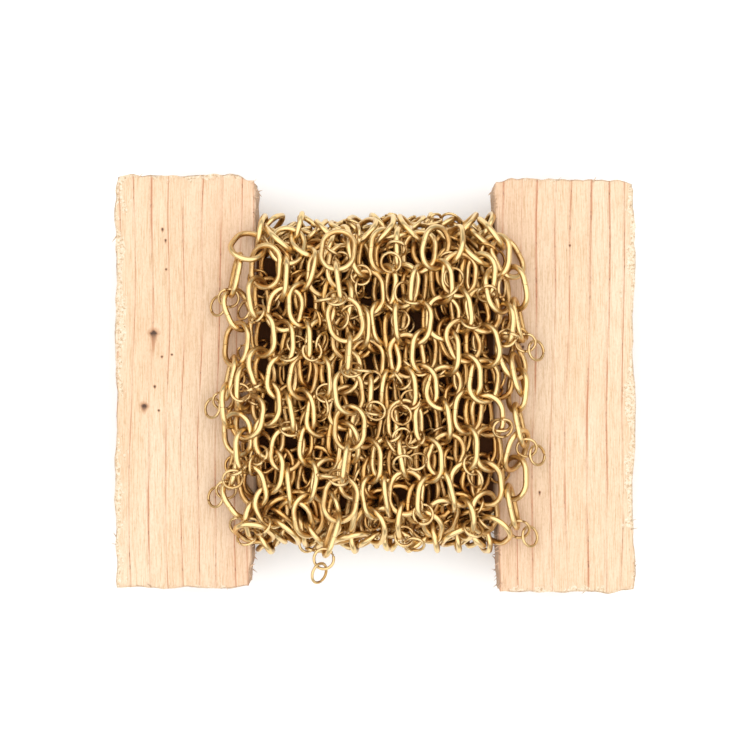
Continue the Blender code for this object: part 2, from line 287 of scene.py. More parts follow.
def wander(seed, reach, waves):
    """A smooth irregular line: f(t) in metres, for t in metres, from a few seeded sine waves."""
    pick = np.random.default_rng(seed)
    lengths = pick.uniform(*waves, 9)
    phases = pick.uniform(0, 2 * math.pi, 9)
    weights = pick.uniform(0.3, 1.0, 9) * (lengths / lengths.max()) ** 0.5
    weights *= reach / np.sqrt((weights ** 2).sum())

    def line(t):
        t = np.asarray(t, float)[..., None]
        return (weights * np.sin(2 * math.pi * t / lengths + phases)).sum(-1)

    return line


def grid_lines(stops, steps):
    """Grid places from stop to stop, near-even in each stretch."""
    places = []
    for start, end, step in zip(stops, stops[1:], steps):
        count = max(1, round((end - start) / step))
        places.extend(np.linspace(start, end, count, endpoint=False))
    return np.array(places + [stops[-1]])


def ruled_board():
    """Grid spots (i, j, level) and faces of the H: both flat faces and the edge between them."""
    half_length, half_height = board_high.x, board_high.y
    xs = grid_lines(
        (-half_length, -CHEEK_INNER_X, CHEEK_INNER_X, half_length),
        (GRID_ACROSS_CHEEK, GRID_ACROSS_WAIST, GRID_ACROSS_CHEEK),
    )
    ys = grid_lines(
        (-half_height, -WAIST_HALF, WAIST_HALF, half_height), (GRID_ALONG, GRID_ALONG * 2, GRID_ALONG)
    )
    mid_x, mid_y = (xs[1:] + xs[:-1]) / 2, (ys[1:] + ys[:-1]) / 2
    wood = (np.abs(mid_x)[:, None] > CHEEK_INNER_X) | (np.abs(mid_y)[None, :] < WAIST_HALF)
    top = len(EDGE_LEVELS) - 1
    number, spots, faces = {}, [], []

    def corner(i, j, level):
        key = (i, j, level)
        if key not in number:
            number[key] = len(spots)
            spots.append(key)
        return number[key]

    def has_wood(i, j):
        return 0 <= i < wood.shape[0] and 0 <= j < wood.shape[1] and wood[i, j]

    for i, j in zip(*np.nonzero(wood)):
        ring = ((i, j), (i + 1, j), (i + 1, j + 1), (i, j + 1))
        faces.append([corner(*spot, top) for spot in ring])
        faces.append([corner(*spot, 0) for spot in reversed(ring)])
        for side, neighbour in enumerate(((i, j - 1), (i + 1, j), (i, j + 1), (i - 1, j))):
            if has_wood(*neighbour):
                continue
            here, there = ring[side], ring[(side + 1) % 4]
            for level in range(top):
                faces.append([
                    corner(*here, level), corner(*there, level),
                    corner(*there, level + 1), corner(*here, level + 1),
                ])
    return xs, ys, wood, np.array(spots), faces


def way_out(xs, ys, wood, spots):
    """Which spots lie on the H's edge, and the level direction out of the wood at each."""
    i, j = spots[:, 0], spots[:, 1]
    padded = np.zeros((wood.shape[0] + 2, wood.shape[1] + 2), bool)
    padded[1:-1, 1:-1] = wood
    around = sum(padded[a:a + len(xs), b:b + len(ys)].astype(int) for a in (0, 1) for b in (0, 1))
    on_edge = around[i, j] < 4
    low_low = padded[:-1, :-1].astype(float)
    out_x = (low_low + padded[:-1, 1:] - padded[1:, :-1] - padded[1:, 1:])[i, j]
    out_y = (low_low + padded[1:, :-1] - padded[:-1, 1:] - padded[1:, 1:])[i, j]
    long = np.maximum(np.hypot(out_x, out_y), 1e-9)
    return on_edge, out_x / long * on_edge, out_y / long * on_edge


def sawn_by_hand(x, y, on_edge):
    """Moves the outline off the ruled lines: slanted and wandering cheeks, chipped corners."""
    half_length, half_height = board_high.x, board_high.y
    for way, slant, seed in ((-1, 0.016, 11), (1, -0.010, 23)):
        cheek = (way * x > CHEEK_INNER_X - 1e-4)
        inner_share = np.clip((half_length - way * x) / (half_length - CHEEK_INNER_X), 0, 1)
        outer_line = wander(seed, 0.00022, (0.0025, 0.045))
        inner_line = wander(seed + 1, 0.00016, (0.0022, 0.04))
        end_line = wander(seed + 2, 0.00022, (0.0025, 0.02))
        foot_line = wander(seed + 3, 0.00022, (0.002, 0.012))
        moved_x = (1 - inner_share) * (outer_line(y) - 0.0002 * way) + inner_share * (slant * y + inner_line(y))
        up_share = np.clip(0.5 + y / (2 * half_height), 0, 1)
        from_middle = x - way * 0.036
        tip = -0.0009 - 0.014 * from_middle if way > 0 else -0.0001 - 0.004 * from_middle
        foot = -0.0002 if way > 0 else 0.0006
        moved_y = up_share * (tip + end_line(x)) + (1 - up_share) * (foot + foot_line(x))
        beyond_waist = np.clip((np.abs(y) - WAIST_HALF) / 0.012, 0, 1)
        x = np.where(cheek, x + moved_x, x)
        y = np.where(cheek & (np.abs(y) > WAIST_HALF - 1e-4), y + moved_y * beyond_waist, y)
    for corner_x, corner_y, chip in (
        (-half_length, half_height, 0.0005), (-CHEEK_INNER_X, half_height, 0.0010),
        (CHEEK_INNER_X, half_height, 0.0009), (half_length, half_height, 0.0008),
        (half_length, -half_height, 0.0004), (CHEEK_INNER_X, -half_height, 0.0003),
        (-CHEEK_INNER_X, -half_height, 0.0004), (-half_length, -half_height, 0.0003),
    ):
        near = np.clip(1 - np.hypot(x - corner_x, y - corner_y) / 0.0034, 0, 1) ** 1.5
        outward_x = math.copysign(1, corner_x) * (1 if abs(corner_x) > 0.03 else -1)
        x = x - outward_x * chip * near * on_edge
        y = y - math.copysign(1, corner_y) * chip * near * on_edge
    return x, y


def sawn_board():
    """The board's mesh: the ruled H, then its edges as the saw left them and its torn faces."""
    xs, ys, wood, spots, faces = ruled_board()
    on_edge, out_x, out_y = way_out(xs, ys, wood, spots)
    x, y, level = xs[spots[:, 0]], ys[spots[:, 1]], spots[:, 2]
    z = board_low.z + np.array(EDGE_LEVELS)[level]
    at_top = level == len(EDGE_LEVELS) - 1
    at_face = on_edge & ((level == 0) | at_top)
    x -= out_x * ARRIS * at_face
    y -= out_y * ARRIS * at_face
    x, y = sawn_by_hand(x, y, on_edge)
    chatter = wander(41, 0.00005, (0.0011, 0.006))
    across = wander(43, 0.00004, (0.0009, 0.004))
    between = on_edge & ~at_face
    rough = (chatter(y + x * 0.7 + z * 3.1) + across(z * 2.0 - y * 1.3 + x)) * between
    x, y = x + out_x * rough, y + out_y * rough
    raised = wander(47, 0.000022, (0.0012, 0.009))
    z = z + np.where(at_top, raised(x + 0.002 * np.sin(y * 60)), 0.0)
    torn = wander(53, 1.0, (0.002, 0.014))
    near_side = np.clip(1 - (board_high.x - np.abs(x)) / 0.0022, 0, 1)
    near_end = np.clip(1 - (board_high.y - np.abs(y)) / 0.0016, 0, 1)
    tear = near_side * np.clip(torn(y + 0.7 * x), 0, 2) + near_end * np.clip(torn(1.3 * x + 0.2), 0, 2)
    z = z - np.where(at_top, 0.00030 * tear, 0.0)
    mesh = bpy.data.meshes.new("winding_board_wood")
    mesh.from_pydata(np.column_stack((x, y, z)).tolist(), [], faces)
    mesh.update()
    mesh.shade_smooth()
    mesh.set_sharp_from_angle(angle=math.radians(40))
    return mesh


def add_piece(name, mesh, finish=None):
    """Puts a mesh in the scene as one object at the origin."""
    piece = bpy.data.objects.new(name, mesh)
    if finish:
        mesh.materials.append(finish)
    bpy.context.scene.collection.objects.link(piece)
    return piece


wood_finish = softwood()
board = add_piece("winding_board_wood", sawn_board(), wood_finish)
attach(board, "root")
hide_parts("winding_board")


# ---- Splinters ----------------------------------------------------------------------------
# Loose slivers of the board's own wood along its side arrises, most of them at the inner edges
# of the cheeks, where the saw turned. They lie with the grain and lean out of the wood.

SPLINTER_COUNT = 130
SPLINTER_LENGTH = 0.0009
SPLINTER_THICKNESS = 0.00016


def own_vector(tree, name):
    """A named vector of the points."""
    return put(tree, "GeometryNodeInputNamedAttribute", {"Name": name}, data_type="FLOAT_VECTOR").outputs[0]


def splinter_tree():
    """Sets a thin cone on each point, lying as the point's own vector says."""
    tree = bpy.data.node_groups.new("torn_splinters", "GeometryNodeTree")
    tree.interface.new_socket("Geometry", in_out="INPUT", socket_type="NodeSocketGeometry")
    for name, kind in (("Length", "Float"), ("Thickness", "Float"), ("Seed", "Int"), ("Wood", "Material")):
        tree.interface.new_socket(name, in_out="INPUT", socket_type="NodeSocket" + kind)
    tree.interface.new_socket("Geometry", in_out="OUTPUT", socket_type="NodeSocketGeometry")
    given = put(tree, "NodeGroupInput").outputs
    sliver = put(tree, "GeometryNodeMeshCone", {
        "Vertices": 5, "Side Segments": 2, "Fill Segments": 1, "Radius Top": 0.00002,
        "Radius Bottom": given["Thickness"], "Depth": given["Length"],
    })
    lie = own_vector(tree, "lie")
    size = put(
        tree, "FunctionNodeRandomValue",
        {"Min": (0.5, 0.5, 0.25), "Max": (1.6, 1.2, 1.7), "Seed": given["Seed"]}, data_type="FLOAT_VECTOR",
    ).outputs[0]
    copies = put(tree, "GeometryNodeInstanceOnPoints", {
        "Points": given["Geometry"], "Instance": sliver.outputs[0],
        "Rotation": put(tree, "FunctionNodeEulerToRotation", {0: lie}).outputs[0], "Scale": size,
    })
    real = put(tree, "GeometryNodeRealizeInstances", {"Geometry": copies.outputs[0]})
    finished = put(tree, "GeometryNodeSetMaterial", {"Geometry": real.outputs[0], "Material": given["Wood"]})
    put(tree, "NodeGroupOutput", {0: finished.outputs[0]})
    return tree


def made_real(name, tree, points, values):
    """Runs a tree once on the points and gives its result as a plain mesh."""
    carrier = bpy.data.objects.new(name + "_carrier", points)
    bpy.context.scene.collection.objects.link(carrier)
    modifier = carrier.modifiers.new(tree.name, "NODES")
    modifier.node_group = tree
    for socket in tree.interface.items_tree:
        if socket.in_out == "INPUT" and socket.name in values:
            modifier[socket.identifier] = values[socket.name]
    graph = bpy.context.evaluated_depsgraph_get()
    mesh = bpy.data.meshes.new_from_object(carrier.evaluated_get(graph), depsgraph=graph)
    mesh.name = name
    bpy.data.objects.remove(carrier)
    bpy.data.meshes.remove(points)
    return mesh


def points_mesh(name, places, **vectors):
    """Loose points, each with its named vectors."""
    points = bpy.data.meshes.new(name + "_points")
    points.from_pydata([tuple(place) for place in places], [], [])
    for title, values in vectors.items():
        layer = points.attributes.new(title, "FLOAT_VECTOR", "POINT")
        layer.data.foreach_set("vector", np.array(values, np.float32).ravel())
    return points


def splinter_points(wood_mesh):
    """Seeded places on the arrises of the cheeks, six times as many on the inner ones."""
    chance = np.random.default_rng(61)
    spots = [
        corner for corner in wood_mesh.vertices
        if abs(corner.co.z - BOARD_MIDDLE_Z) > HALF_THICKNESS * 0.9 and 0.25 < abs(corner.normal.z) < 0.95
        and abs(corner.co.y) > WAIST_HALF + 0.002 and abs(corner.normal.y) < 0.6
    ]
    weights = np.array([6.0 if abs(spot.co.x) < CHEEK_INNER_X + 0.001 else 1.0 for spot in spots])
    places, lies = [], []
    for k in chance.choice(len(spots), SPLINTER_COUNT, replace=False, p=weights / weights.sum()):
        spot = spots[k]
        grain = Vector((0, chance.choice((-1, 1)), 0)) * chance.uniform(0.1, 0.9)
        lean = Vector((spot.normal.x, 0, 0)).normalized() * chance.uniform(0.3, 0.9)
        way = (grain + lean + Vector((0, 0, chance.uniform(-0.3, 0.3)))).normalized()
        places.append(spot.co - way * SPLINTER_LENGTH * 0.25)
        lies.append(way.to_track_quat("Z", "X").to_euler())
    return points_mesh("splinters", places, lie=lies)


splinters = add_piece("torn_splinters", made_real(
    "torn_splinters", splinter_tree(), splinter_points(board.data),
    {"Length": SPLINTER_LENGTH, "Thickness": SPLINTER_THICKNESS, "Seed": 5, "Wood": wood_finish},
))
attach(splinters, "root")


# ---- Chain on the board -------------------------------------------------------------------
# Soft brass wire is bent into ovals, each closed with a butt joint after it is hooked into the
# one before. The chain is wound in turns, and each turn settles onto what lies under it.

OVAL_LENGTH = 0.0092
OVAL_WIDTH = 0.0072
OVAL_WIRE = 0.00110
RING_DIAMETER = 0.0043
RING_WIRE = 0.0006
OVAL_PITCH = 0.0069
SLACK = (0.94, 1.01)
TURNS_OUTSIDE = 12
STRANDS_OUTSIDE = 13
TURNS_INSIDE = 12
DEPTH_INSIDE = 0.0021
DEPTH_OUTSIDE = 0.0054
ROLL_INSIDE = 48
ROLL_OUTSIDE = 90
LANE_SPREAD = 1.035
UNEVEN = 0.0003
END_HALF_WIDTH = CHEEK_INNER_X - 0.0016
FACE_SPILL = 0.0018
FACE_BULGE = 0.0022
FREE_END_X = (-0.016, 0.003)
pick = np.random.default_rng(7)


def wire_corners(length, width, wire, bends):
    """Corners of a bent loop's centreline: flat in XY, the long way along Y."""
    bend, straight = (width - wire) / 2, (length - width) / 2
    turn = np.arange(bends + 1) * math.pi / bends
    half = np.column_stack((bend * np.cos(turn), bend * np.sin(turn) + straight, 0 * turn))
    if straight > 1e-6:
        return np.vstack((half, -half))
    return np.vstack((half[:-1], -half[:-1]))


SHAPES = {
    "oval": (wire_corners(OVAL_LENGTH, OVAL_WIDTH, OVAL_WIRE, 6), OVAL_WIRE / 2),
    "ring": (wire_corners(RING_DIAMETER, RING_DIAMETER, RING_WIRE, 5), RING_WIRE / 2),
}


def lie_from(side, along):
    """Turn of a loop as a matrix whose columns are its side, its long way and its normal."""
    along = along / np.linalg.norm(along)
    side = side - along * side.dot(along)
    side = side / np.linalg.norm(side)
    return np.column_stack((side, along, np.cross(side, along)))


def spin(axis, angle):
    """A turn about an axis, as a matrix."""
    return np.array(Matrix.Rotation(angle, 3, Vector(axis)))


def lie_of_node(name):
    """Centre and turn of a link or ring of the frame, from its mesh."""
    points = np.array([corner.co for corner in frame["nodes"][name].data.vertices])
    points = np.unique(points.round(7), axis=0)
    centre = points.mean(0)
    _, ways = np.linalg.eigh(np.cov((points - centre).T))
    return centre, lie_from(ways[:, 1], ways[:, 2])


def section_route(depth):
    """The way round the waist at this depth, front face first: length so far, (y, z) and outward."""
    radius = depth + 0.0010
    flat_y, flat_z = WAIST_HALF + depth - radius, HALF_THICKNESS + depth - radius
    points, outs = [], []
    for corner, (cy, cz) in enumerate(((-1, 1), (-1, -1), (1, -1), (1, 1))):
        for step in np.linspace(0, 1, 9):
            angle = math.pi / 2 * (1 + corner + step)
            outs.append((math.cos(angle), math.sin(angle)))
            points.append((cy * flat_y + radius * outs[-1][0], cz * flat_z + radius * outs[-1][1]))
    points, outs = np.array(points + points[:1]), np.array(outs + outs[:1])
    start = np.array([0.0, points[0, 1]])
    points = np.vstack((start, points[:-1], start))
    outs = np.vstack(((0, 1), outs[:-1], (0, 1)))
    length = np.concatenate(([0], np.cumsum(np.linalg.norm(np.diff(points, axis=0), axis=1))))
    return length, points, outs


def spot_on(route, way):
    """(y, z) and the outward direction at this length along the route."""
    length, points, outs = route
    way = way % length[-1]
    point = np.array([np.interp(way, length, points[:, k]) for k in (0, 1)])
    out = np.array([np.interp(way, length, outs[:, k]) for k in (0, 1)])
    return point, out / np.linalg.norm(out)


def half_width_at(y, out):
    """The winding's half width: narrow between the cheeks, wider where it spills over their faces."""
    on_face = min(1.0, max(0.0, (abs(out[1]) - 0.3) / 0.5))
    bulge = max(0.0, 1 - (y / (WAIST_HALF + WINDING_DEPTH)) ** 2)
    return END_HALF_WIDTH + on_face * (FACE_SPILL + FACE_BULGE * bulge)


def new_loops():
    """Empty lists for the loops of wire: what each is, where it lies and whether it is held still."""
    return {"shape": [], "centre": [], "turn": [], "home": [], "turn_number": [], "fixed": []}


def add_loop(loops, shape, centre, turn, number, fixed=False):
    """Adds one oval or ring, at home where it is laid."""
    for key, value in zip(loops, (shape, centre, turn, centre, number, fixed)):
        loops[key].append(value)


def hang_ring(loops, number, point, wire_way, wire, hang, tilt):
    """A small ring round the wire at point, hanging along hang; gives the next ring's point and wire."""
    hang = hang / np.linalg.norm(hang)
    across = wire_way - hang * hang.dot(wire_way)
    across = spin(hang, tilt) @ (across / np.linalg.norm(across))
    radius = (RING_DIAMETER - RING_WIRE) / 2
    offset = radius - (wire + RING_WIRE) / 2 - CAD_GAP / 2
    turn = lie_from(np.cross(hang, across), hang)
    add_loop(loops, "ring", point + hang * offset, turn, number)
    return point + hang * (offset + radius), np.cross(turn[:, 2], hang)


def hang_pair(loops, number, centre, turn, outward):
    """A pair of small rings, the first round the oval's end bend and the second through the first."""
    bend = math.radians(pick.uniform(35, 65)) * pick.choice((-1, 1))
    bend_radius = (OVAL_WIDTH - OVAL_WIRE) / 2
    side, along = turn[:, 0], turn[:, 1]
    bend_centre = centre + along * (OVAL_LENGTH - OVAL_WIDTH) / 2
    point = bend_centre + (along * math.cos(bend) + side * math.sin(bend)) * bend_radius
    tangent = side * math.cos(bend) - along * math.sin(bend)
    hang = side * np.sign(bend) * 0.7 - outward * pick.uniform(0.0, 1.0) + along * pick.uniform(-0.6, 0.6)
    point, wire_way = hang_ring(loops, number, point, tangent, OVAL_WIRE, hang, pick.uniform(-0.5, 0.5))
    hang = hang * 0.5 + pick.normal(0, 0.6, 3) - outward * 0.5
    hang_ring(loops, number, point, wire_way, RING_WIRE, hang, pick.uniform(-0.5, 0.5))


def lay_turns(loops, count, depth, roll, inset, low):
    """Lays linked ovals along a helix of count turns, with a pair of small rings at every second joint."""
    route = section_route(depth)
    around = route[0][-1]
    slack = pick.uniform(*SLACK, count)
    twist = pick.uniform(0, 90)
    k, way = -1, -OVAL_PITCH
    while way + OVAL_PITCH < count * around:
        k += 1
        way += OVAL_PITCH * slack[min(count - 1, max(0, int(way / around)))]
        (y, z), out = spot_on(route, way)
        (ahead_y, ahead_z), _ = spot_on(route, way + 0.001)
        turns_done = min(way / around, count - 0.001)
        lane = 2 * (turns_done + 0.5) / (count + 1) - 1
        x = lane * LANE_SPREAD * (half_width_at(y, out) - inset) + pick.normal(0, UNEVEN)
        forward = np.array([0.0, ahead_y - y, ahead_z - z])
        outward = np.array([0.0, *out])
        centre = np.array([x, y, z + BOARD_MIDDLE_Z]) + outward * pick.normal(0, UNEVEN)
        if out[1] > 0.5 and FREE_END_X[0] < x < FREE_END_X[1]:
            centre -= outward * low
        twist += pick.normal(0, 14)
        wave = math.sin(math.radians(twist))
        angle = roll * (0.5 * math.cos(math.pi * k) + 0.45 * wave) + pick.normal(0, 5)
        if roll == ROLL_OUTSIDE:
            angle += 45 - 20 * (1 - abs(wave))
        turn = lie_from(np.cross(forward, outward), forward)
        turn = spin(turn[:, 1], math.radians(angle)) @ turn
        number = int(turns_done * TURNS_OUTSIDE / count)
        add_loop(loops, "oval", centre, turn, number)
        if k % 2 == 0:
            hang_pair(loops, number, centre, turn, outward)


def close_pairs(middles, owner, reach):
    """Pairs of short straight pieces of wire, of different loops, whose middles lie within reach."""
    cell = np.floor((middles - middles.min(0)) / reach).astype(np.int64)
    spans = cell.max(0) + 3
    code = ((cell[:, 0] + 1) * spans[1] + cell[:, 1] + 1) * spans[2] + cell[:, 2] + 1
    order = np.argsort(code, kind="stable")
    sorted_code = code[order]
    firsts, seconds = [], []
    for dx in (-1, 0, 1):
        for dy in (-1, 0, 1):
            for dz in (-1, 0, 1):
                shift = (dx * spans[1] + dy) * spans[2] + dz
                if shift < 0:
                    continue
                low = np.searchsorted(sorted_code, sorted_code + shift, "left")
                high = np.searchsorted(sorted_code, sorted_code + shift, "right")
                if shift == 0:
                    low = np.arange(len(order)) + 1
                count = np.maximum(high - low, 0)
                first = np.repeat(np.arange(len(order)), count)
                start = np.repeat(low - np.concatenate(([0], np.cumsum(count)[:-1])), count)
                second = start + np.arange(count.sum())
                firsts.append(order[first])
                seconds.append(order[second])
    first, second = np.concatenate(firsts), np.concatenate(seconds)
    apart = owner[first] != owner[second]
    first, second = first[apart], second[apart]
    gap = middles[first] - middles[second]
    near = np.einsum("ij,ij->i", gap, gap) < reach * reach
    return first[near], second[near]


def nearest_points(p1, d1, p2, d2):
    """Where two straight pieces p + s d come closest, s from 0 to 1 on each."""
    between = p1 - p2
    a = np.einsum("ij,ij->i", d1, d1)
    e = np.einsum("ij,ij->i", d2, d2)
    b = np.einsum("ij,ij->i", d1, d2)
    c = np.einsum("ij,ij->i", d1, between)
    f = np.einsum("ij,ij->i", d2, between)
    s = np.clip((b * f - c * e) / np.maximum(a * e - b * b, 1e-18), 0, 1)
    t = np.clip((b * s + f) / e, 0, 1)
    s = np.clip((b * t - c) / a, 0, 1)
    return s, t


def per_loop(owner, values, count):
    """Adds up the vectors that belong to each loop."""
    return np.column_stack([np.bincount(owner, values[:, k], count) for k in range(3)])


def pushed_off(place, corner_wire, ceiling):
    """How far the board, the floor and the winding's outer limits push each corner of the wires."""
    off = np.zeros_like(place)
    x, y, z = place[:, 0], place[:, 1], place[:, 2] - BOARD_MIDDLE_Z
    inside_y = WAIST_HALF + corner_wire - np.abs(y)
    inside_z = HALF_THICKNESS + corner_wire - np.abs(z)
    cheek_x = np.abs(x) + corner_wire - CHEEK_INNER_X
    in_waist = (inside_y > 0) & (inside_z > 0)
    by_y = in_waist & (inside_y < inside_z)
    off[by_y, 1] += (np.sign(y) * inside_y)[by_y]
    by_z = in_waist & ~by_y
    off[by_z, 2] += (np.sign(z) * inside_z)[by_z]
    in_cheek = (cheek_x > 0) & (inside_z > 0) & ~in_waist
    by_x = in_cheek & (cheek_x < inside_z)
    off[by_x, 0] -= (np.sign(x) * cheek_x)[by_x]
    by_top = in_cheek & ~by_x
    off[by_top, 2] += (np.sign(z) * inside_z)[by_top]
    too_low = corner_wire - place[:, 2]
    off[:, 2] += np.maximum(too_low, 0)
    too_high = place[:, 2] - ceiling[0] + corner_wire
    off[:, 2] -= np.maximum(too_high, 0)
    too_far = np.abs(y) - ceiling[1] + corner_wire
    off[:, 1] -= np.sign(y) * np.maximum(too_far, 0)
    too_wide = np.abs(x) - ceiling[2] + corner_wire
    off[:, 0] -= np.sign(x) * np.maximum(too_wide, 0)
    return off


def turns_about(axis, angle):
    """One turning matrix for each axis and angle."""
    cos, sin = np.cos(angle)[:, None, None], np.sin(angle)[:, None, None]
    cross = np.zeros((len(angle), 3, 3))
    cross[:, 0, 1], cross[:, 0, 2], cross[:, 1, 2] = -axis[:, 2], axis[:, 1], -axis[:, 0]
    cross -= cross.transpose(0, 2, 1)
    return cos * np.eye(3) + sin * cross + (1 - cos) * axis[:, :, None] * axis[:, None, :]


SETTLE_ROUNDS = 220
PRESS_STEP = 0.00002
PAIR_REACH = 0.0028
TOUCH_MARGIN = 0.00004
LONGEST_STEP = 0.00025
LARGEST_TURN = 0.09
HOMEWARD = 0.04


def settle(loops, rounds, press, ceiling):
    """Moves the loops, as stiff bent wires, off each other and towards the board, in small steps.

    Gives each loop's deepest overlap that is left at the end.
    """
    count = len(loops["shape"])
    centre, home = np.array(loops["centre"]), np.array(loops["home"])
    turn = np.array(loops["turn"])
    free = ~np.array(loops["fixed"])
    is_oval = np.array([shape == "oval" for shape in loops["shape"]])
    corners = [SHAPES[shape][0] for shape in loops["shape"]]
    sizes = np.array([len(c) for c in corners])
    owner = np.repeat(np.arange(count), sizes)
    local = np.vstack(corners)
    starts = np.concatenate(([0], np.cumsum(sizes)[:-1]))
    following = np.arange(len(owner)) + 1
    following[starts + sizes - 1] = starts
    wire = np.where(is_oval, SHAPES["oval"][1], SHAPES["ring"][1])
    ease = np.where(free, np.where(is_oval, 1.0, 3.0), 0.0)
    lever = ease / np.where(is_oval, 0.0028, 0.0015) ** 2
    corner_wire = wire[owner]
    for step in range(rounds):
        place = centre[owner] + np.einsum("ijk,ik->ij", turn[owner], local)
        along = place[following] - place
        if step % 8 == 0:
            one, two = close_pairs(place + along / 2, owner, PAIR_REACH)
            moving = (ease[owner[one]] + ease[owner[two]]) > 0
            one, two = one[moving], two[moving]
        s, t = nearest_points(place[one], along[one], place[two], along[two])
        at_one = place[one] + along[one] * s[:, None]
        at_two = place[two] + along[two] * t[:, None]
        away = at_one - at_two
        apart = np.sqrt(np.einsum("ij,ij->i", away, away)) + 1e-9
        overlap = corner_wire[one] + corner_wire[two] + TOUCH_MARGIN - apart
        touch = overlap > 0
        a, b = owner[one[touch]], owner[two[touch]]
        way = away[touch] / apart[touch, None]
        arm_a, arm_b = at_one[touch] - centre[a], at_two[touch] - centre[b]
        bend_a, bend_b = np.cross(arm_a, way), np.cross(arm_b, way)
        give = (
            ease[a] + ease[b] + lever[a] * np.einsum("ij,ij->i", bend_a, bend_a)
            + lever[b] * np.einsum("ij,ij->i", bend_b, bend_b)
        )
        push = (overlap[touch] / give)[:, None]
        move = per_loop(a, way * push, count) - per_loop(b, way * push, count)
        swing = per_loop(a, bend_a * push, count) - per_loop(b, bend_b * push, count)
        hits = np.bincount(a, minlength=count) + np.bincount(b, minlength=count)
        off = pushed_off(place, corner_wire, ceiling)
        pushed = np.abs(off).sum(1) > 0
        who = owner[pushed]
        arm = place[pushed] - centre[who]
        size = np.linalg.norm(off[pushed], axis=1)[:, None]
        way = off[pushed] / size
        bent = np.cross(arm, way)
        give = ease[who] + lever[who] * np.einsum("ij,ij->i", bent, bent)
        push = size / np.maximum(give, 1e-9)[:, None]
        move += per_loop(who, way * push, count)
        swing += per_loop(who, bent * push, count)
        hits += np.bincount(who, minlength=count)
        share = (1 / np.maximum(1, hits) ** 0.6)[:, None]
        move = move * ease[:, None] * share
        swing = swing * lever[:, None] * share
        if step < rounds * 0.7:
            waist_y = np.clip(centre[:, 1], -WAIST_HALF, WAIST_HALF)
            waist_z = np.clip(centre[:, 2] - BOARD_MIDDLE_Z, -HALF_THICKNESS, HALF_THICKNESS)
            waist_z += BOARD_MIDDLE_Z
            inward = np.column_stack((0 * waist_y, waist_y - centre[:, 1], waist_z - centre[:, 2]))
            inward /= np.linalg.norm(inward, axis=1)[:, None] + 1e-9
            move += inward * press * free[:, None]
            move[:, 0] += (home[:, 0] - centre[:, 0]) * HOMEWARD * free * is_oval
        size = np.linalg.norm(move, axis=1)[:, None]
        centre += move * np.minimum(1, LONGEST_STEP / np.maximum(size, 1e-9))
        angle = np.linalg.norm(swing, axis=1)
        axis = swing / np.maximum(angle, 1e-12)[:, None]
        angle = np.minimum(angle, LARGEST_TURN)
        turn = turns_about(axis, angle) @ turn
        if step % 50 == 49:
            first = turn[:, :, 0] / np.linalg.norm(turn[:, :, 0], axis=1)[:, None]
            second = turn[:, :, 1] - first * np.einsum("ij,ij->i", first, turn[:, :, 1])[:, None]
            second /= np.linalg.norm(second, axis=1)[:, None]
            turn = np.stack((first, second, np.cross(first, second)), axis=2)
    place = centre[owner] + np.einsum("ijk,ik->ij", turn[owner], local)
    lowest = np.minimum.reduceat(place[:, 2] - corner_wire, starts)
    centre[:, 2] += np.maximum(0, -lowest) * free
    loops["centre"], loops["turn"] = list(centre), list(turn)
    deepest = np.zeros(count)
    np.maximum.at(deepest, a, overlap[touch])
    np.maximum.at(deepest, b, overlap[touch])
    return deepest


def brass_wire(name, bright, dull, streak_scale):
    """Antiqued brass: bright where it was rubbed, brown elsewhere, with the drawn wire's fine lines."""
    made, tree, shader, place = new_finish(name)
    way = put(tree, "ShaderNodeAttribute", attribute_name="along_wire").outputs["Fac"]
    round_wire = put(tree, "ShaderNodeAttribute", attribute_name="round_wire").outputs["Vector"]
    own_tone = put(tree, "ShaderNodeAttribute", attribute_name="tone").outputs["Fac"]
    around = put(tree, "ShaderNodeSeparateXYZ", {0: round_wire}).outputs
    drawn = put(tree, "ShaderNodeCombineXYZ", {
        0: sum_of(tree, "MULTIPLY_ADD", around[0], 1.0, sum_of(tree, "MULTIPLY", own_tone, 37.0)),
        1: sum_of(tree, "MULTIPLY_ADD", around[1], 1.0, sum_of(tree, "MULTIPLY", own_tone, 53.0)),
        2: sum_of(tree, "MULTIPLY", way, 140.0),
    }).outputs[0]
    streaks = noise(tree, drawn, streak_scale, 3.0, 0.6)
    patches = noise(tree, place, 0.42, 3.0, 0.6)
    rub = sum_of(tree, "MULTIPLY_ADD", around[0], 0.16, sum_of(tree, "MULTIPLY", streaks, 0.65))
    rub = sum_of(tree, "MULTIPLY_ADD", patches, 0.40, rub)
    rub = sum_of(tree, "MULTIPLY_ADD", own_tone, 0.14, rub)
    half_rubbed = tuple((a + b) / 2 for a, b in zip(dull, bright))
    colour = ramp(tree, rub, ((0.34, dull), (0.50, half_rubbed), (0.62, bright)))
    tree.links.new(colour, shader.inputs["Base Color"])
    shader.inputs["Metallic"].default_value = 1.0
    rough = ramp(tree, rub, ((0.34, grey(0.42)), (0.62, grey(0.31))))
    tree.links.new(rough, shader.inputs["Roughness"])
    bump = put(tree, "ShaderNodeBump", {"Strength": 0.25, "Distance": 0.00006, "Height": streaks})
    tree.links.new(bump.outputs[0], shader.inputs["Normal"])
    return made


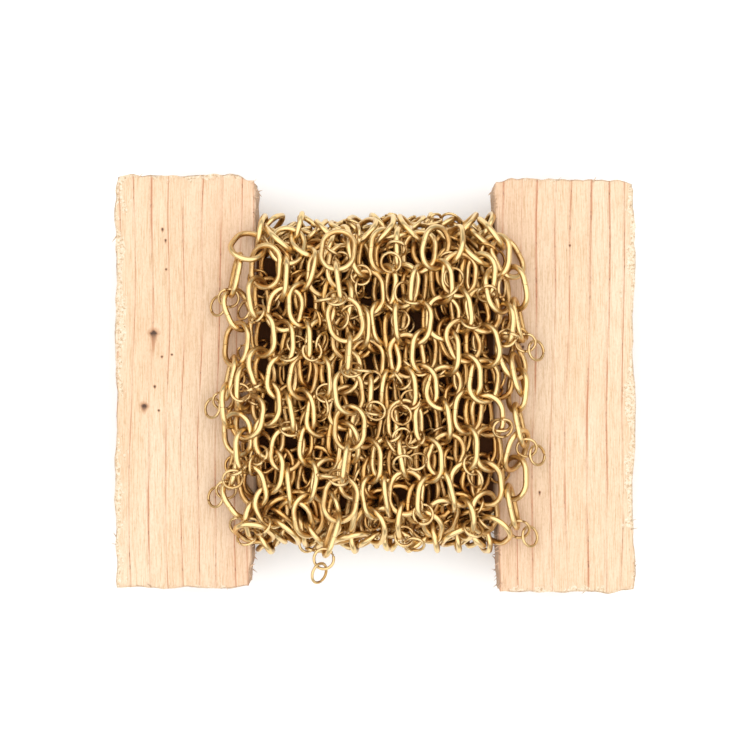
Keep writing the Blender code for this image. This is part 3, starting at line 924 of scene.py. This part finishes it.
def wire_tree():
    """Bends one loop of wire, sets a copy on each point, and makes the copies real."""
    tree = bpy.data.node_groups.new("bent_wire_loops", "GeometryNodeTree")
    tree.interface.new_socket("Geometry", in_out="INPUT", socket_type="NodeSocketGeometry")
    for name, kind in (
        ("Loop length", "Float"), ("Loop width", "Float"), ("Wire", "Float"), ("Joint gap", "Float"),
        ("Steps in a bend", "Int"), ("Sides of the wire", "Int"), ("Brass", "Material"),
    ):
        tree.interface.new_socket(name, in_out="INPUT", socket_type="NodeSocket" + kind)
    tree.interface.new_socket("Geometry", in_out="OUTPUT", socket_type="NodeSocketGeometry")
    given = put(tree, "NodeGroupInput").outputs
    steps = given["Steps in a bend"]
    bend = sum_of(tree, "MULTIPLY", sum_of(tree, "SUBTRACT", given["Loop width"], given["Wire"]), 0.5)
    beyond_bends = sum_of(tree, "SUBTRACT", given["Loop length"], given["Loop width"])
    straight = sum_of(tree, "MULTIPLY", beyond_bends, 0.5)
    half_gap = sum_of(tree, "MULTIPLY", given["Joint gap"], 0.5)
    points = sum_of(tree, "MULTIPLY_ADD", steps, 2.0, 4.0)
    line = put(tree, "GeometryNodeCurvePrimitiveLine")
    line = put(tree, "GeometryNodeResampleCurve", {"Curve": line.outputs[0], "Count": points})
    index = put(tree, "GeometryNodeInputIndex").outputs[0]
    before = sum_of(tree, "SUBTRACT", index, 1.0)
    second_half = sum_of(tree, "GREATER_THAN", before, steps)
    turned = sum_of(tree, "DIVIDE", sum_of(tree, "SUBTRACT", before, second_half), steps)
    turned = put(tree, "ShaderNodeClamp", {"Value": turned, "Min": 0.0, "Max": 2.0}).outputs[0]
    angle = sum_of(tree, "MULTIPLY", turned, math.pi)
    is_first = sum_of(tree, "LESS_THAN", index, 0.5)
    is_last = sum_of(tree, "GREATER_THAN", before, sum_of(tree, "MULTIPLY_ADD", steps, 2.0, 1.5))
    side_way = sum_of(tree, "MULTIPLY_ADD", second_half, -2.0, 1.0)
    at_joint = sum_of(tree, "ADD", is_first, is_last)
    shift = put(tree, "ShaderNodeMix", {0: at_joint, 2: straight, 3: half_gap}).outputs[0]
    x = sum_of(tree, "MULTIPLY", bend, sum_of(tree, "COSINE", angle))
    shift = sum_of(tree, "MULTIPLY", shift, side_way)
    y = sum_of(tree, "MULTIPLY_ADD", bend, sum_of(tree, "SINE", angle), shift)
    spot = put(tree, "ShaderNodeCombineXYZ", {0: x, 1: y}).outputs[0]
    line = put(tree, "GeometryNodeSetPosition", {"Geometry": line.outputs[0], "Position": spot})
    line = put(tree, "GeometryNodeSetCurveNormal", {"Curve": line.outputs[0]}, mode="Z_UP")
    length = put(tree, "GeometryNodeSplineParameter").outputs["Length"]
    line = put(
        tree, "GeometryNodeStoreNamedAttribute",
        {"Geometry": line.outputs[0], "Name": "along_wire", "Value": length}, data_type="FLOAT", domain="POINT",
    )
    section = put(
        tree, "GeometryNodeCurvePrimitiveCircle",
        {"Resolution": given["Sides of the wire"], "Radius": sum_of(tree, "MULTIPLY", given["Wire"], 0.5)},
        mode="RADIUS",
    )
    section_place = put(tree, "GeometryNodeInputPosition").outputs[0]
    direction = put(tree, "ShaderNodeVectorMath", {0: section_place}, operation="NORMALIZE").outputs[0]
    section = put(
        tree, "GeometryNodeStoreNamedAttribute",
        {"Geometry": section.outputs[0], "Name": "round_wire", "Value": direction},
        data_type="FLOAT_VECTOR", domain="POINT",
    )
    loop = put(tree, "GeometryNodeCurveToMesh", {
        "Curve": line.outputs[0], "Profile Curve": section.outputs[0], "Fill Caps": True,
    })
    copies = put(tree, "GeometryNodeInstanceOnPoints", {
        "Points": given["Geometry"], "Instance": loop.outputs[0],
        "Rotation": put(tree, "FunctionNodeEulerToRotation", {0: own_vector(tree, "lie")}).outputs[0],
        "Scale": own_vector(tree, "trim"),
    })
    real = put(tree, "GeometryNodeRealizeInstances", {"Geometry": copies.outputs[0]})
    smooth = put(tree, "GeometryNodeSetShadeSmooth", {"Geometry": real.outputs[0]})
    finished = put(tree, "GeometryNodeSetMaterial", {
        "Geometry": smooth.outputs[0], "Material": given["Brass"],
    })
    put(tree, "NodeGroupOutput", {0: finished.outputs[0]})
    return tree


def bend_wires(name, tree, centres, turns, tones, length, width, wire, steps, sides, finish):
    """One piece of real wire loops, one at each centre."""
    lies = [Matrix(turn.tolist()).to_euler() for turn in turns]
    trims = [(1 + 0.012 * math.sin(91 * tone), 1 + 0.010 * math.sin(57 * tone), 1.0) for tone in tones]
    points = points_mesh(name, centres, lie=lies, trim=trims)
    points.attributes.new("tone", "FLOAT", "POINT").data.foreach_set("value", np.array(tones, np.float32))
    return add_piece(name, made_real(name, tree, points, {
        "Loop length": length, "Loop width": width, "Wire": wire, "Joint gap": 0.00006,
        "Steps in a bend": steps, "Sides of the wire": sides, "Brass": finish,
    }))


OVAL = (OVAL_LENGTH, OVAL_WIDTH, OVAL_WIRE)
RING = (RING_DIAMETER, RING_DIAMETER, RING_WIRE * 0.96)
LIMITS = (turn_high.z + 0.0012, turn_high.y + 0.0016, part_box("side_link_right_middle")[1].x)
SIDE_LINKS_BETWEEN = 2
SIDE_PITCH = 0.0066
CROWDED = 0.00035


def keep_clear(loops, node, joint):
    """Holds the place that a moving link or ring swings through, up to its limit."""
    centre, turn = lie_of_node(node)
    pivot = np.array(joint["pos_m"])
    for share in (0.35, 0.7, 1.0):
        swing = spin(joint["axis"], math.radians(joint["range_deg"][1] * share))
        shape = "ring" if "_ring_" in node else "oval"
        add_loop(loops, shape, pivot + swing @ (centre - pivot), swing @ turn, -1, True)


def loop_of_node(name):
    """Centre and turn of a link of the frame, its long way pointing down the board."""
    centre, turn = lie_of_node(name)
    return centre, turn * np.array([-1, -1, 1]) if turn[1, 1] > 0 else turn


def way_down_the_end(start, way, upward):
    """Places of the links that lead a side strand from its last side link round the end of the winding."""
    corners = [start]
    if abs(start[1]) < 0.019:
        corners.append(np.array([way * 0.0265, upward * 0.0215, start[2]]))
    corners += [np.array([way * x, upward * y, z]) for x, y, z in (
        (0.0232, 0.0282, 0.0235), (0.0206, 0.0318, 0.0170), (0.0204, 0.0318, 0.0100),
    )]
    corners = np.array(corners)
    length = np.concatenate(([0], np.cumsum(np.linalg.norm(np.diff(corners, axis=0), axis=1))))
    stops = np.arange(1, int(length[-1] / SIDE_PITCH) + 1) * SIDE_PITCH
    return [np.array([np.interp(stop, length, corners[:, k]) for k in range(3)]) for stop in stops]


def join_links(loops, start_turn, places, end, way):
    """Links through the places, each rolled a sixth of a turn on from the one before."""
    turn = start_turn
    spots = list(places) + ([end] if end is not None else [])
    for k, place in enumerate(places):
        ahead = spots[k + 1] - place if k + 1 < len(spots) else place - spots[k - 1]
        if ahead[1] * start_turn[1, 1] < 0 and end is not None:
            ahead = -ahead
        turn = lie_from(turn[:, 0], ahead)
        turn = spin(turn[:, 1], math.radians(60)) @ turn
        add_loop(loops, "oval", place, turn, 0 if way < 0 else TURNS_OUTSIDE - 1)


loops = new_loops()
fixed_nodes = [name for name in frame["nodes"] if name.startswith(("fixed_link", "free_link", "side_link"))]
for node in fixed_nodes:
    node_centre, node_turn = lie_of_node(node)
    add_loop(loops, "ring" if "_ring_" in node else "oval", node_centre, node_turn, -1, True)
for joint in frame["record"]["behaviour"]["joints"]:
    for node in (joint["child"], joint["child"] + "_ring_one", joint["child"].replace("_one", "_two")):
        if node in fixed_nodes:
            keep_clear(loops, node, joint)
first_inside = len(loops["shape"])
lay_turns(loops, TURNS_INSIDE, DEPTH_INSIDE, ROLL_INSIDE, 0.0012, 0.0006)
first_outside = len(loops["shape"])
lay_turns(loops, STRANDS_OUTSIDE, DEPTH_OUTSIDE, ROLL_OUTSIDE, 0.0, 0.0016)
for cheek, way in (("left", -1), ("right", 1)):
    anchors = [loop_of_node(f"side_link_{cheek}_{place}") for place in ("upper", "middle", "lower")]
    for (start, start_turn), (end, _) in zip(anchors, anchors[1:]):
        steps = np.linspace(0, 1, SIDE_LINKS_BETWEEN + 2)[1:-1]
        join_links(loops, start_turn, [start + (end - start) * step for step in steps], end, way)
    for (start, start_turn), upward in ((anchors[0], 1), (anchors[-1], -1)):
        join_links(loops, start_turn, way_down_the_end(start, way, upward), None, way)
settle(loops, SETTLE_ROUNDS, PRESS_STEP, LIMITS)
crowding = settle(loops, SETTLE_ROUNDS, 0.0, LIMITS)
all_loops = len(loops["shape"])

oval_brass = brass_wire("oval_link_brass", (0.76, 0.552, 0.262), (0.44, 0.222, 0.060), 2.2)
ring_brass = brass_wire("small_ring_brass", (0.69, 0.490, 0.235), (0.41, 0.218, 0.062), 2.6)
# The inner turns get a darker, redder copy of the brass: painted shade for the deep layers that lie under the
# outer turns.
painted_shade_brass = brass_wire("under_layer_painted_shade_brass", (0.64, 0.395, 0.145), (0.31, 0.120, 0.022), 2.2)
wires = wire_tree()
tones = pick.uniform(0, 1, len(loops["shape"]))


def of_loops(chosen):
    """Centres, turns and tones of the chosen loops."""
    return [[values[k] for k in chosen] for values in (loops["centre"], loops["turn"], tones)]


def chosen_loops(shape, start, end, number=None):
    """The loops of one shape, of one turn if it is given, without the rings that found no room."""
    return [
        k for k in range(start, end)
        if loops["shape"][k] == shape and (number is None or loops["turn_number"][k] == number)
        and (shape == "oval" or crowding[k] < CROWDED)
    ]


inner_ovals = bend_wires(
    "inner_chain", wires,
    *of_loops(chosen_loops("oval", first_inside, first_outside)), *OVAL, 9, 6, painted_shade_brass,
)
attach(inner_ovals, "root")
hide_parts("inner_winding")
inner_rings = bend_wires(
    "inner_small_rings", wires,
    *of_loops(chosen_loops("ring", first_inside, first_outside)), *RING, 7, 6, painted_shade_brass,
)
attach(inner_rings, "root")
for number in range(TURNS_OUTSIDE):
    chain = bend_wires(
        f"chain_turn_{number + 1:02d}", wires,
        *of_loops(chosen_loops("oval", first_outside, all_loops, number)), *OVAL, 15, 10, oval_brass,
    )
    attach(chain, "root")
    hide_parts(f"outer_winding_turn_{number + 1:02d}")
outer_rings = bend_wires(
    "outer_small_rings", wires,
    *of_loops(chosen_loops("ring", first_outside, all_loops)), *RING, 9, 8, ring_brass,
)
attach(outer_rings, "root")


# ---- Free end and side links --------------------------------------------------------------
# The same brass links and rings, each its own piece: the free end lying down the front, whose
# links and rings swing, and the six links standing on the cheeks with a ring pair each. Each is
# hooked through the one before, in wire a little thinner so that it swings without rubbing.

MOVING_OVAL = (OVAL_LENGTH, OVAL_WIDTH, 0.00104)
MOVING_RING = (RING_DIAMETER, RING_DIAMETER, RING_WIRE * 0.92)

for k, node in enumerate(fixed_nodes):
    small = loops["shape"][k] == "ring"
    sizes, finish = (MOVING_RING, ring_brass) if small else (MOVING_OVAL, oval_brass)
    piece = bend_wires(node + "_wire", wires, *of_loops([k]), *sizes, 16, 12, finish)
    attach(piece, node if node in frame["bodies"] else "root")
    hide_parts(node)


# ---- Studio -------------------------------------------------------------------------------
# A pale floor, one large softbox overhead with a dim even light all round, and a camera straight above the
# board.

FLOOR_REACH = 3.0
VIEW_HEIGHT = 0.400


def plain_finish(name, colour, roughness):
    """One even colour with a hint of unevenness."""
    made, tree, shader, place = new_finish(name)
    tone = ramp(tree, noise(tree, place, 0.02, 1.0), ((0.0, tuple(c * 0.995 for c in colour)), (1.0, colour)))
    tree.links.new(tone, shader.inputs["Base Color"])
    shader.inputs["Roughness"].default_value = roughness
    return made


floor_mesh = bpy.data.meshes.new("floor")
floor_corners = [(FLOOR_REACH * x, FLOOR_REACH * y, 0) for x, y in ((-1, -1), (1, -1), (1, 1), (-1, 1))]
floor_mesh.from_pydata(floor_corners, [], [(0, 1, 2, 3)])
floor = add_piece("floor", floor_mesh, plain_finish("pale_floor", (0.93, 0.93, 0.925), 0.9))

world = bpy.data.worlds.new("studio")
bpy.context.scene.world = world
world.use_nodes = True
world.node_tree.nodes["Background"].inputs["Color"].default_value = (1.0, 1.0, 1.0, 1.0)
world.node_tree.nodes["Background"].inputs["Strength"].default_value = 0.30


def soft_light(name, place, aim, size, power):
    """A large square lamp."""
    lamp = bpy.data.lights.new(name, "AREA")
    lamp.shape = "RECTANGLE"
    lamp.size, lamp.size_y = size
    lamp.energy = power
    obj = bpy.data.objects.new(name, lamp)
    obj.location = place
    obj.rotation_euler = (Vector(aim) - Vector(place)).to_track_quat("-Z", "Y").to_euler()
    bpy.context.scene.collection.objects.link(obj)


soft_light("overhead_softbox", (0.0, 0.0, 0.75), (0, 0, 0), (2.8, 2.8), 41.0)

camera_data = bpy.data.cameras.new("overhead_camera")
camera_data.lens = 100
camera_data.sensor_width = 36
camera_data.clip_start = 0.01
camera = bpy.data.objects.new("overhead_camera", camera_data)
camera.location = (0.0, 0.0015, board_high.z + VIEW_HEIGHT)
bpy.context.scene.collection.objects.link(camera)
bpy.context.scene.camera = camera
bpy.context.scene.view_settings.view_transform = "Standard"
